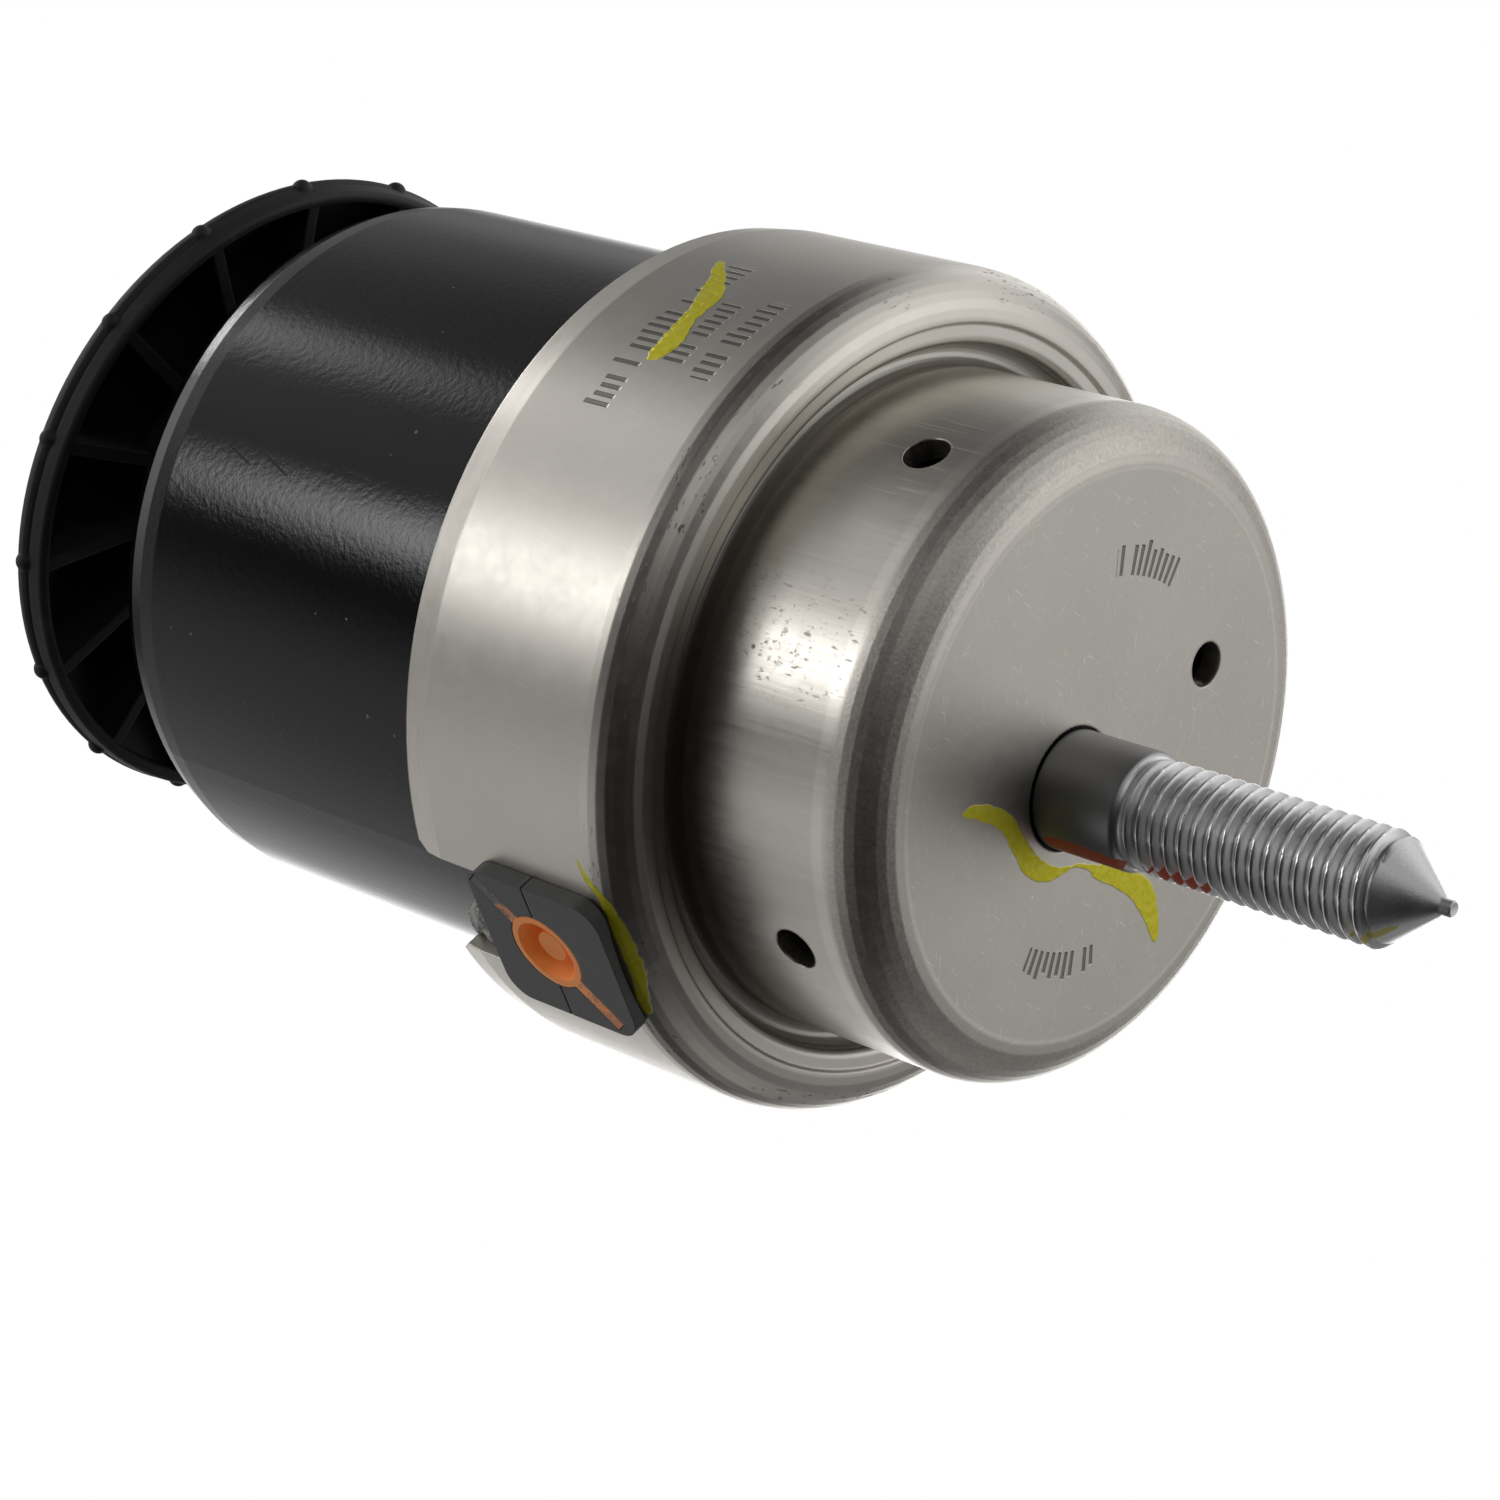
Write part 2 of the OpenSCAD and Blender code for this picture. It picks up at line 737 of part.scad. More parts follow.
// Each bead is its angle from the pad, its height below the rim and its radius
module tack_weld() {
    beads = [[-7.6, 4, 2.2], [-6.2, 1.7, 2.1], [-4.3, 3.4, 2.2], [-2.4, 4.6, 1.6], [-7.9, 1.2, 1.7]];
    color("#9a9a98")
        on_axis()
        difference() {
            union()
                for (b = beads)
                    rotate([0, 0, b[0]])
                        translate([can_r + weld_reach, 0, rim_z - b[1]])
                        sphere(r = b[2], $fn = 32);
            cylinder(r = can_r + seat_gap / 2, h = can_top_z);
            cylinder(r = ring_r, h = can_z + can_t + can_fillet_r);
            translate([can_r, -notch_w, rim_z - notch_depth])
                cube([ring_r - can_r, notch_w / 2 + seat_gap / 2, notch_depth]);
        }
}

lower_shell();
stud();
upper_can();
core();
main_spring();
spring_ring();
rebound_bumper();
track_lower();
track_upper();
decoupler();
track_seal();
bellows();
bellows_ring();
dust_cover();
cover_retainer();
locating_pin();
side_plate_upper();
side_plate_lower();
side_plug();
side_plug_pin();
tack_weld();
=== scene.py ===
import math

import bpy
from mathutils import Matrix, Vector


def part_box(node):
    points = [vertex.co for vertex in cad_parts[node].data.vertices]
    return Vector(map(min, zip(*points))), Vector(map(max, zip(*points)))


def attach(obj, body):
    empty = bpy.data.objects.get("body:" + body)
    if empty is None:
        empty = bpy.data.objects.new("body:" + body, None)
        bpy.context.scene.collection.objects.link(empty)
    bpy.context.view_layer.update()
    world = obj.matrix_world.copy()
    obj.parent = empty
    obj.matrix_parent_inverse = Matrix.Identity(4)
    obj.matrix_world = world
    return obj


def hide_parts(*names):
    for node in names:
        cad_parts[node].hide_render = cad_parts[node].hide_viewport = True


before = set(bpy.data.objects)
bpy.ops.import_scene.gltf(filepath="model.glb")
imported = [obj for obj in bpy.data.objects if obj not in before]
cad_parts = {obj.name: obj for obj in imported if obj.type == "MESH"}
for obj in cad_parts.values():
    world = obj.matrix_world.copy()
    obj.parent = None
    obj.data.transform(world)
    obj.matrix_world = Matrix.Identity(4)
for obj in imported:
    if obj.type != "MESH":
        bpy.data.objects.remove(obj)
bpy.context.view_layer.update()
mm = 0.001
canLow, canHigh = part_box("upper_can")
axisX = (canLow.x + canHigh.x) / 2          # the mount's own axis stands beside the stud's
print("frame loaded,", len(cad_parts), "pieces")


# Camera: where the photo was taken from, in the object's own frame

view = {
    "lens": 93.83,                 # millimetres, on a sensor 36 wide
    "lean": 50.18,                 # degrees between the line of sight and the mount's axis
    "roll": 18.22,                 # degrees that the axis drops to the right in the picture
    "twist": 128.65,               # degrees that the pad is turned round the axis
    "seat": (36.36, -0.85, -405.8),    # the axis in the seat plane, seen from the camera, in millimetres
}


def pictureAxes():
    # columns are the camera's right, up and back, as directions of the object's frame
    lean, roll, twist = (math.radians(view[k]) for k in ("lean", "roll", "twist"))
    down = Vector((math.sin(lean) * math.cos(roll), -math.sin(lean) * math.sin(roll), math.cos(lean)))
    first = (Vector((0, 1, 0)) - down * down.y).normalized()
    second = down.cross(first)
    x = math.cos(twist) * first + math.sin(twist) * second
    y = math.sin(twist) * first - math.cos(twist) * second
    return Matrix((x, y, -down))


toFrame = pictureAxes()


def seen(turn, rise):
    # a direction given in degrees right of the camera's back, and in degrees up
    turn, rise = math.radians(turn), math.radians(rise)
    side = math.cos(rise)
    return (toFrame @ Vector((side * math.sin(turn), math.sin(rise), side * math.cos(turn)))).normalized()


def makeCamera():
    data = bpy.data.cameras.new("camera")
    data.lens = view["lens"]
    data.sensor_width = 36
    camera = bpy.data.objects.new("camera", data)
    camera.location = Vector((axisX, 0, 0)) - toFrame @ Vector(view["seat"]) * mm
    camera.rotation_mode = "QUATERNION"
    camera.rotation_quaternion = toFrame.to_quaternion()
    bpy.context.scene.collection.objects.link(camera)
    bpy.context.scene.camera = camera


makeCamera()
bpy.context.scene.view_settings.view_transform = "Standard"
print("camera set")


# Shader maths: a Num is a socket that takes part in ordinary arithmetic

class Num:
    def __init__(self, tree, socket):
        self.tree = tree
        self.socket = socket

    def __add__(self, other):
        return self.tree.math("ADD", self, other)

    def __sub__(self, other):
        return self.tree.math("SUBTRACT", self, other)

    def __rsub__(self, other):
        return self.tree.math("SUBTRACT", other, self)

    def __mul__(self, other):
        return self.tree.math("MULTIPLY", self, other)

    def __truediv__(self, other):
        return self.tree.math("DIVIDE", self, other)

    def __abs__(self):
        return self.tree.math("ABSOLUTE", self)

    __radd__ = __add__
    __rmul__ = __mul__


def rgba(value):
    return (*value, 1.0) if isinstance(value, tuple) and len(value) == 3 else value


class Tree:
    # the node tree of a material or of the world
    def __init__(self, owner):
        owner.use_nodes = True
        self.nodes = owner.node_tree.nodes
        self.links = owner.node_tree.links
        self.nodes.clear()

    def make(self, kind, settings=None, values=None):
        node = self.nodes.new(kind)
        for key, value in (settings or {}).items():
            setattr(node, key, value)
        for key, value in (values or {}).items():
            self.feed(node.inputs[key], value)
        return node

    def feed(self, socket, value):
        if isinstance(value, Num):
            value = value.socket
        if isinstance(value, bpy.types.NodeSocket):
            self.links.new(value, socket)
        else:
            socket.default_value = value

    def math(self, kind, *values):
        node = self.make("ShaderNodeMath", {"operation": kind}, dict(enumerate(values)))
        return Num(self, node.outputs[0])

    def vector(self, kind, *values):
        return self.make("ShaderNodeVectorMath", {"operation": kind}, dict(enumerate(values))).outputs[0]

    def number(self, kind, *values):
        # a vector operation whose result is one number
        node = self.make("ShaderNodeVectorMath", {"operation": kind}, dict(enumerate(values)))
        return Num(self, node.outputs[1])

    def least(self, a, b):
        return self.math("MINIMUM", a, b)

    def most(self, a, b):
        return self.math("MAXIMUM", a, b)

    def ramp(self, value, low, high):
        # 0 at low and 1 at high, smooth between them; high may be under low
        node = self.make("ShaderNodeMapRange", {"interpolation_type": "SMOOTHSTEP"},
                         {0: value, 1: low, 2: high, 3: 0.0, 4: 1.0})
        return Num(self, node.outputs[0])

    def band(self, value, low, high, soft):
        return self.ramp(value, low - soft, low + soft) * self.ramp(value, high + soft, high - soft)

    def joined(self, x, y, z):
        return self.make("ShaderNodeCombineXYZ", values={0: x, 1: y, 2: z}).outputs[0]

    def parts(self, place):
        split = self.make("ShaderNodeSeparateXYZ", values={0: place})
        return [Num(self, split.outputs[i]) for i in range(3)]

    def mix(self, factor, a, b, kind="MIX"):
        node = self.make("ShaderNodeMix", {"data_type": "RGBA", "blend_type": kind}, {0: factor})
        for key, value in ((6, a), (7, b)):
            self.feed(node.inputs[key], rgba(value))
        return node.outputs[2]

    def tinted(self, color, amount):
        # a colour times a number
        return self.mix(1.0, color, amount, "MULTIPLY")


class Look(Tree):
    # a material whose places are in millimetres from its middle, which is on the mount's axis or the stud's
    def __init__(self, name, middle=(axisX, 0, 0)):
        self.material = bpy.data.materials.new(name)
        super().__init__(self.material)
        place = self.make("ShaderNodeTexCoord").outputs["Object"]
        away = self.vector("SUBTRACT", place, middle)
        self.spot = self.vector("MULTIPLY", away, (1 / mm, 1 / mm, 1 / mm))
        self.x, self.y, self.z = self.parts(self.spot)
        self.r = self.math("SQRT", self.x * self.x + self.y * self.y)
        self.turn = self.math("ARCTAN2", self.y, self.x) * (180 / math.pi)

    def noise(self, size, detail=2.0, roughness=0.5, stretch=(1, 1, 1), spot=None, shift=0.0):
        # soft noise round 0.5, with lumps about size millimetres across
        spot = self.vector("MULTIPLY_ADD", spot or self.spot, stretch, (shift, shift, shift))
        node = self.make("ShaderNodeTexNoise", values={"Vector": spot, "Scale": 1 / size, "Detail": detail,
                                                       "Roughness": roughness})
        return Num(self, node.outputs[0])

    def specks(self, size, radius, share):
        # round specks of that radius, in a share of the cells of that size
        node = self.make("ShaderNodeTexVoronoi", values={"Vector": self.spot, "Scale": 1 / size})
        away = Num(self, node.outputs["Distance"]) * size
        pick = self.parts(node.outputs["Color"])
        reach = radius * (0.4 + pick[1])
        return self.ramp(away / reach, 1.0, 0.6) * self.ramp(pick[0], share, share * 0.98)

    def scratches(self, a, b, angle, length, width, level, shift):
        # thin straight scratches in the plane of a and b, at that angle
        c, s = math.cos(math.radians(angle)), math.sin(math.radians(angle))
        along = (a * c + b * s) / length
        across = (b * c - a * s) / width
        lines = self.noise(1.0, 1.0, spot=self.joined(along, across, shift))
        return self.ramp(lines, level, level + 0.06)

    def curve(self, value, points):
        # a smooth curve through points of value and result
        low, high = points[0][0], points[-1][0]
        least, most = min(p[1] for p in points), max(p[1] for p in points) + 1e-6
        share = (value - low) / (high - low)
        node = self.make("ShaderNodeFloatCurve", values={"Factor": 1.0, "Value": share})
        line = node.mapping.curves[0]
        places = [((a - low) / (high - low), (b - least) / (most - least)) for a, b in points]
        line.points[0].location, line.points[1].location = places[0], places[-1]
        for place in places[1:-1]:
            line.points.new(*place)
        node.mapping.update()
        return Num(self, node.outputs[0]) * (most - least) + least

    def stroke(self, along, across, points, rough=0.3):
        # a brush stroke through points of along, across and half width
        middle = self.curve(along, [(p[0], p[1]) for p in points])
        half = self.curve(along, [(p[0], p[2]) for p in points])
        ragged = (self.noise(1.1, 3.0, 0.6) - 0.5) * (2 * rough)
        ends = self.band(along, points[0][0], points[-1][0], 0.01)
        return self.ramp(abs(across - middle) - half + ragged, 0.12, -0.12) * ends

    def bump(self, height, normal=None):
        # height in millimetres
        values = {"Strength": 1.0, "Distance": mm, "Height": height}
        if normal is not None:
            values["Normal"] = normal
        return self.make("ShaderNodeBump", values=values).outputs[0]

    def rounded(self, radius):
        # edges that catch the light as if they were rounded
        return self.make("ShaderNodeBevel", {"samples": 6}, {"Radius": radius * mm}).outputs[0]

    def shade(self, values):
        values = {key: rgba(value) for key, value in values.items()}
        shader = self.make("ShaderNodeBsdfPrincipled", values=values)
        self.make("ShaderNodeOutputMaterial", values={"Surface": shader.outputs[0]})
        return self.material


def onSurface(radius, turn, height):
    # a place in millimetres from the mount's axis
    turn = math.radians(turn)
    return Vector((radius * math.cos(turn), radius * math.sin(turn), height))


def coated(node, material):
    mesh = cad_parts[node].data
    mesh.materials.clear()
    mesh.materials.append(material)


# Studio: soft glows round the object, the strongest behind it, and a few narrow lamps at the left

studio = {
    "backdrop": 1.0,               # what the camera sees behind the object
    "base": 0.008,                 # light from everywhere
    "soft": 34.0,                  # degrees from a glow's middle to where it has faded
    # each glow is degrees right of the camera's back, degrees up, and strength
    "glows": [
        (-100.0, 51.8, 0.35), (122.5, 47.6, 0.73), (-152.6, 40.0, 0.45), (69.9, 36.5, 0.85),
        (-67.6, 33.2, 0.58), (154.9, 30.0, 1.23), (17.4, 26.9, 0.84), (-120.1, 23.9, 1.08),
        (102.4, 20.9, 0.93), (82.3, -1.4, 1.43), (167.3, -6.8, 4.95), (-107.7, -12.4, 0.40),
        (114.8, -15.2, 0.48), (-160.2, -20.9, 0.72), (-75.2, -26.9, 0.69), (-127.8, -36.5, 0.49),
        (127.2, -61.8, 0.47)],
    # each lamp is the same, and the degrees to its full and its faded edge
    "lamps": [
        (-66.1, 23.4, 4.0, 2, 9), (-76.0, 10.8, 2.3, 2, 9), (-82.0, 19.0, 5.4, 1, 10),
        (-109.0, 48.0, 2.2, 1, 9), (-138.0, 34.0, 4.5, 2, 10)],
    "floorDrop": 0.9,              # metres down to the floor
    "floorSize": 60.0,
    "floorColor": (0.84, 0.84, 0.83),
}


def lightWorld(name):
    world = bpy.data.worlds.new(name)
    tree = Tree(world)
    way = tree.make("ShaderNodeTexCoord").outputs["Generated"]
    total = studio["base"]
    glows = [(*glow, 0, studio["soft"]) for glow in studio["glows"]]
    for turn, rise, strength, near, far in glows + studio["lamps"]:
        facing = tree.number("DOT_PRODUCT", way, tuple(seen(turn, rise)))
        angle = tree.math("ARCCOSINE", tree.most(tree.least(facing, 1.0), -1.0)) * (180 / math.pi)
        total = tree.ramp(angle, far, near) * strength + total
    white = (1.0, 1.0, 1.0, 1.0)
    around = tree.make("ShaderNodeBackground", values={"Color": white, "Strength": total})
    behind = tree.make("ShaderNodeBackground", values={"Color": white, "Strength": studio["backdrop"]})
    direct = tree.make("ShaderNodeLightPath").outputs["Is Camera Ray"]
    both = tree.make("ShaderNodeMixShader", values={0: direct, 1: around.outputs[0], 2: behind.outputs[0]})
    tree.make("ShaderNodeOutputWorld", values={"Surface": both.outputs[0]})
    bpy.context.scene.world = world


def layFloor(name):
    half = studio["floorSize"] / 2
    mesh = bpy.data.meshes.new(name)
    corners = [(-half, -half, 0), (half, -half, 0), (half, half, 0), (-half, half, 0)]
    mesh.from_pydata(corners, [], [(0, 1, 2, 3)])
    floor = bpy.data.objects.new(name, mesh)
    floor.location = (0, 0, -studio["floorDrop"])
    bpy.context.scene.collection.objects.link(floor)
    tree = Tree(bpy.data.materials.new(name))
    shader = tree.make("ShaderNodeBsdfPrincipled", values={
        "Base Color": rgba(studio["floorColor"]), "Roughness": 0.8,
        "Emission Color": rgba(studio["floorColor"]), "Emission Strength": 0.55})
    tree.make("ShaderNodeOutputMaterial", values={"Surface": shader.outputs[0]})
    mesh.materials.append(bpy.data.materials[name])
    # only a ground to look at, so the studio alone lights the object
    floor.visible_diffuse = floor.visible_glossy = floor.visible_shadow = False


lightWorld("studio")
layFloor("floor")
print("studio lit")


# Lower shell: drawn steel, satin, with drawn scratches on the cup and a grainy bend round the face

shell = {
    "node": "lower_shell",
    "steel": (0.63, 0.60, 0.55),
    "faceEdge": 31.1, "groundLine": 30.7, "ringRadius": 47.0, "bandFrom": 52.0,
    "sideHole": (36.6, 90, 12),    # radius, degrees from the pad and height of the upper side hole
    # lower and upper height of each zone
    "cupWall": (5.6, 23.6), "cupStep": (5.9, 7.3), "shoulder": (24.4, 28.6), "groove": (24.9, 27.4),
    "smudgeTurn": 53,              # degrees from the pad to the rubbed part of the cup
    "yellow": (0.95, 0.88, 0.05), "yellowThin": (0.86, 0.78, 0.04),
    # paint stroke on the face: y, x and half width
    "curl": [(-26.4, -0.4, -0.2), (-25.0, -0.6, 0.8), (-22.5, -0.8, 1.2), (-19.2, -0.4, 1.6),
             (-16.4, 1.1, 1.5), (-12.4, 4.2, 1.2), (-10.0, 6.2, 0.35), (-8.7, 7.6, 0.3),
             (-8.0, 9.3, 0.9), (-6.9, 11.2, 1.2), (-3.9, 13.4, 1.3), (-0.7, 14.2, 1.1),
             (3.1, 15.0, 1.1), (6.2, 17.0, 1.2), (8.2, 19.0, 1.0), (9.0, 19.8, -0.2)],
    # paint strokes on the ring: degrees from the pad, height and half width
    "dash": [(81.5, 40.8, -0.2), (82.5, 40.6, 0.9), (84.7, 40.3, 1.4), (87.4, 40.6, 1.3),
             (90.6, 41.0, 1.0), (92.8, 41.3, 1.2), (95.5, 42.0, 1.6), (99.0, 43.6, 1.2),
             (102.0, 45.6, 0.8), (104.0, 46.8, -0.2)],
    "drip": [(-8.5, 27.1, -0.2), (-7.5, 27.1, 0.45), (-4.0, 26.75, 0.65), (0.0, 26.3, 0.7),
             (4.5, 26.5, 0.7), (8.0, 26.8, 0.65), (11.0, 27.5, 0.55), (13.5, 28.9, 0.4),
             (16.5, 30.3, -0.1)],
    # generic pressed bars on the ring: first turn, last turn, lower and upper height, degrees a bar
    "rows": [(73, 104, 41.5, 45.2, 1.4), (82, 94.5, 36.6, 39.6, 1.3), (80.5, 97, 31.8, 35.0, 1.4)],
    "markDeep": 0.14,
    # the same on the face: first turn, last turn, inner and outer radius, degrees a bar
    "faceRows": [(118, 147, 19.4, 23.5, 2.9), (-66, -36, 21.0, 24.0, 2.9)],
}


def stampedRow(look, along, across, first, last, pitch, low, high):
    # short upright bars of uneven height, some of them left out
    cell = look.math("FLOOR", along / pitch)
    inside = along / pitch - cell
    chance = look.make("ShaderNodeTexWhiteNoise", {"noise_dimensions": "2D"},
                       {"Vector": look.joined(cell, low, 0.0)}).outputs["Value"]
    chance = Num(look, chance)
    length = (high - low) * (0.7 + 0.3 * look.math("FRACT", chance * 7.31))
    upright = look.ramp(abs(inside - 0.5), 0.27, 0.19)
    tall = look.ramp(across, low - 0.1, low + 0.1) * look.ramp(across - low - length, 0.1, -0.1)
    shown = look.math("GREATER_THAN", chance, 0.18)
    within = look.ramp(along, first, first + 0.1) * look.ramp(along, last, last - 0.1)
    return upright * tall * shown * within


def shellLook():
    look = Look("shellSteel")
    x, y, z, r, turn = look.x, look.y, look.z, look.r, look.turn
    onFace = look.ramp(z, 0.7, 0.3) * look.ramp(r, shell["faceEdge"] + 0.6, shell["faceEdge"])
    onCup = look.band(z, *shell["cupWall"], 0.5) * look.ramp(r, 37.4, 37.0)
    onBend = look.ramp(z, 6.0, 4.6) * look.ramp(r, shell["faceEdge"], shell["faceEdge"] + 1.5)
    onShoulder = look.band(z, *shell["shoulder"], 0.4) * look.ramp(r, 43.4, 44.4)
    onRing = look.ramp(r, 46.6, 46.9)
    onBand = look.ramp(z, shell["bandFrom"] - 0.1, shell["bandFrom"] + 0.2) * look.ramp(r, 44.4, 44.8)
    onGroove = look.band(z, *shell["groove"], 0.2) * look.ramp(r, 40.2, 39.7)

    # tone of the bare metal
    blotches = look.noise(16, 3, 0.55) - 0.5
    mottle = look.noise(1.6, 3, 0.6) - 0.5
    tone = 1.0 + blotches * 0.16 + mottle * 0.1
    drawn = look.noise(0.45, 3, 0.7, (1, 1, 0.03)) - 0.5
    drawnWide = look.noise(2.6, 2, 0.5, (1, 1, 0.08)) - 0.5
    tone = tone + onCup * (drawn * 0.3 + drawnWide * 0.25)
    grain = look.noise(0.4, 2, 0.6) - 0.5
    tone = tone + onBend * (grain * 0.55 - 0.05)
    turned = look.noise(0.22, 2, 0.6, spot=look.joined(r, turn * 0.02, z)) - 0.5
    tone = tone + onBand * (turned * 0.3 + 0.06)
    tone = tone + look.band(z, *shell["cupStep"], 0.2) * onCup * 0.12
    tone = tone + look.band(r, shell["groundLine"] - 0.2, shell["groundLine"] + 0.2, 0.15) * onFace * 0.12

    # short bright scratches on the face, and finer ones on the ring
    bright = None
    for angle, shift in ((15, 3.1), (62, 7.7), (118, 12.3), (155, 21.9)):
        one = look.scratches(x, y, angle, 2.6, 0.13, 0.72, shift)
        bright = one if bright is None else look.most(bright, one)
    tone = tone + bright * onFace * 0.4
    arc = turn * (math.pi / 180 * shell["ringRadius"])
    fine = look.scratches(arc, z, 80, 5.0, 0.16, 0.7, 4.2)
    tone = tone + fine * onRing * 0.12
    hole = tuple(onSurface(*shell["sideHole"]))
    nearHole = look.ramp(look.number("LENGTH", look.vector("SUBTRACT", look.spot, hole)), 9, 3)
    lines = look.noise(0.3, 1, 0.5, (1, 1, 0.02), shift=9.0)
    tone = tone + look.ramp(lines, 0.6, 0.68) * onCup * nearHole * 0.5
    pale = look.specks(3.4, 0.16, 0.35)
    tone = tone + pale * 0.3 * (onFace + onRing)

    # dark marks: dashes pressed in round the shoulder, smudges on the cup, grey specks; the groove is
    # painted darker, as painted shade
    dashes = look.noise(1.0, 2, 0.6, spot=look.joined(turn * 0.55, z * 2.2, r * 2.2))
    dark = look.ramp(dashes, 0.6, 0.68) * onShoulder * look.ramp(look.noise(9, 1), 0.42, 0.58)
    smudgeArea = look.ramp(abs(turn - shell["smudgeTurn"]), 13, 6) * onCup
    crossing = look.ramp(look.noise(1.0, 2, 0.6, spot=look.joined(turn * 0.9, z * 0.5, 5.0)), 0.6, 0.7)
    rubbed = look.ramp(look.noise(1.2, 4, 0.7, shift=31), 0.58, 0.7)
    dark = look.most(dark, look.most(crossing, rubbed) * smudgeArea * 0.6)
    dark = look.most(dark, look.specks(7, 0.22, 0.4) * 0.8)
    # the groove round the neck is painted darker: painted shade
    tone = tone * (1.0 - dark * 0.55) * (1.0 - onGroove * 0.35)
    base = look.tinted(shell["steel"], tone)

    # bars pressed in the ring and in the face, painted dark: painted shade in their grooves
    marks = None
    for first, last, low, high, pitch in shell["rows"]:
        row = stampedRow(look, turn, z, first, last, pitch, low, high) * onRing
        marks = row if marks is None else marks + row
    for first, last, low, high, pitch in shell["faceRows"]:
        marks = marks + stampedRow(look, turn, r, first, last, pitch, low, high) * onFace
    base = look.mix(marks * 0.72, base, (0.1, 0.095, 0.085))

    # yellow brush strokes
    paint = look.stroke(y, x, shell["curl"]) * onFace
    paint = look.most(paint, look.stroke(turn, z, shell["dash"], 0.5) * onRing)
    paint = look.most(paint, look.stroke(turn, z, shell["drip"], 0.3) * look.ramp(r, 43, 44))
    thin = look.noise(0.8, 3, 0.6)
    paint = paint * (0.86 + 0.14 * look.ramp(thin, 0.36, 0.5))
    yellow = look.mix(look.ramp(thin, 0.4, 0.62), shell["yellow"], shell["yellowThin"])
    base = look.mix(paint, base, yellow)

    roughness = 0.36 + mottle * 0.12 + onBend * 0.1 + onFace * 0.1 - onCup * 0.04 + drawn * onCup * 0.2
    roughness = roughness - onBand * 0.06 + dark * 0.2 + paint * 0.2
    height = grain * onBend * 0.02 + mottle * 0.004 + drawn * onCup * 0.006 + turned * onBand * 0.01
    height = height - marks * shell["markDeep"] + paint * 0.04 - dark * 0.01
    normal = look.bump(height, look.rounded(0.35))
    # the thin paint lets the metal shine through
    return look.shade({"Base Color": base, "Metallic": 1.0 - paint * 0.3, "Roughness": roughness,
                       "Normal": normal})


coated(shell["node"], shellLook())
print("lower shell coated")


# Upper can: smooth black coat with a slight orange peel, two scratches and some dust

can = {
    "node": "upper_can",
    "coat": (0.003, 0.003, 0.0032), "gloss": 0.38,
    # height, degrees from the pad and half width in degrees
    "scratches": [[(85.8, 53.4, -0.1), (88.0, 54.5, 0.08), (90.9, 55.9, -0.1)],
                  [(92.0, 53.4, -0.1), (94.5, 54.6, 0.1), (96.9, 55.7, -0.1)]],
}


def canLook():
    look = Look("canCoat")
    mottle = look.noise(7, 3, 0.55) - 0.5
    peel = look.noise(0.8, 3, 0.6) - 0.5
    dust = look.specks(2.2, 0.13, 0.35)
    dust = look.most(dust, look.specks(5.5, 0.24, 0.25) * 0.7)
    rubs = look.most(*(look.stroke(look.z, look.turn, points, 0.12) for points in can["scratches"]))
    base = look.tinted(can["coat"], 1.0 + mottle * 0.5)
    base = look.mix(dust * 0.7, base, (0.4, 0.4, 0.38))
    base = look.mix(rubs * 0.8, base, (0.004, 0.004, 0.004))
    roughness = 0.14 + mottle * 0.06 + dust * 0.3 + rubs * 0.3
    height = peel * 0.024 - rubs * 0.03
    return look.shade({"Base Color": base, "Roughness": roughness, "Specular IOR Level": can["gloss"],
                       "Normal": look.bump(height, look.rounded(0.3))})


coated(can["node"], canLook())
print("can coated")


# Dust cover: matte moulded rubber

cover = {
    "node": "dust_cover",
    "rubber": (0.018, 0.018, 0.0185),
}


def rubberLook(name, color):
    look = Look(name)
    bloom = look.noise(5, 4, 0.6)
    grain = look.noise(0.25, 2, 0.6) - 0.5
    dust = look.specks(3.1, 0.1, 0.25)
    base = look.tinted(color, 0.85 + bloom * 0.4)
    base = look.mix(look.ramp(bloom, 0.55, 0.75) * 0.12 + dust * 0.4, base, (0.16, 0.155, 0.15))
    roughness = 0.55 + grain * 0.16 + bloom * 0.1
    return look.shade({"Base Color": base, "Roughness": roughness,
                       "Normal": look.bump(grain * 0.012, look.rounded(0.35))})


coated(cover["node"], rubberLook("coverRubber", cover["rubber"]))
print("dust cover coated")


# Stud: plain shank, rolled thread with a cone point, turned marks and a small round tip

stud = {
    "node": "stud",
    "headR": 15.0, "headTop": 6.5, "headLow": 2.5, "pilotR": 6.7,
    "shankR": 6.4, "shankEnd": -10.2,
    "crestR": 6.0, "pitch": 1.75, "depth": 1.0, "threadEnd": -40.2,
    "pointR": 5.4, "pointEnd": -45.7, "tipR": 0.85, "tipEnd": -46.8,
    "around": 80, "perPitch": 13,
    "steel": (0.74, 0.74, 0.745), "shankSteel": (0.34, 0.34, 0.345),
    "red": (0.85, 0.14, 0.03), "yellow": (0.8, 0.72, 0.04),
    "paintTurn": -23.4,            # degrees from the pad's side to the painted line
    # paint along that line: height, place round the stud and half width
    "streak": [(-21.5, 0.0, -0.2), (-19.5, 0.0, 1.0), (-15.0, 0.0, 1.1), (-13.5, 0.0, 0.3),
               (-11.5, 0.3, -0.3), (-10.0, 0.4, 1.0), (-5.0, 0.5, 1.5), (-1.5, 0.5, 1.2),
               (-0.6, 0.4, -0.1)],
    "trace": [(-42.5, 1.0, -0.2), (-41.0, 0.8, 0.7), (-38.8, 0.4, 0.5), (-37.8, 0.3, -0.2)],
}


def threadDepth(height, turn):
    # 0 on the crest and 1 at the root of a right-hand thread
    phase = (height / stud["pitch"] - turn / (2 * math.pi)) % 1.0
    away = abs(phase - 0.5) * 2
    slope = min(max((away - 0.14) / 0.62, 0.0), 1.0)
    return 0.5 * slope + 0.5 * slope * slope * (3 - 2 * slope)


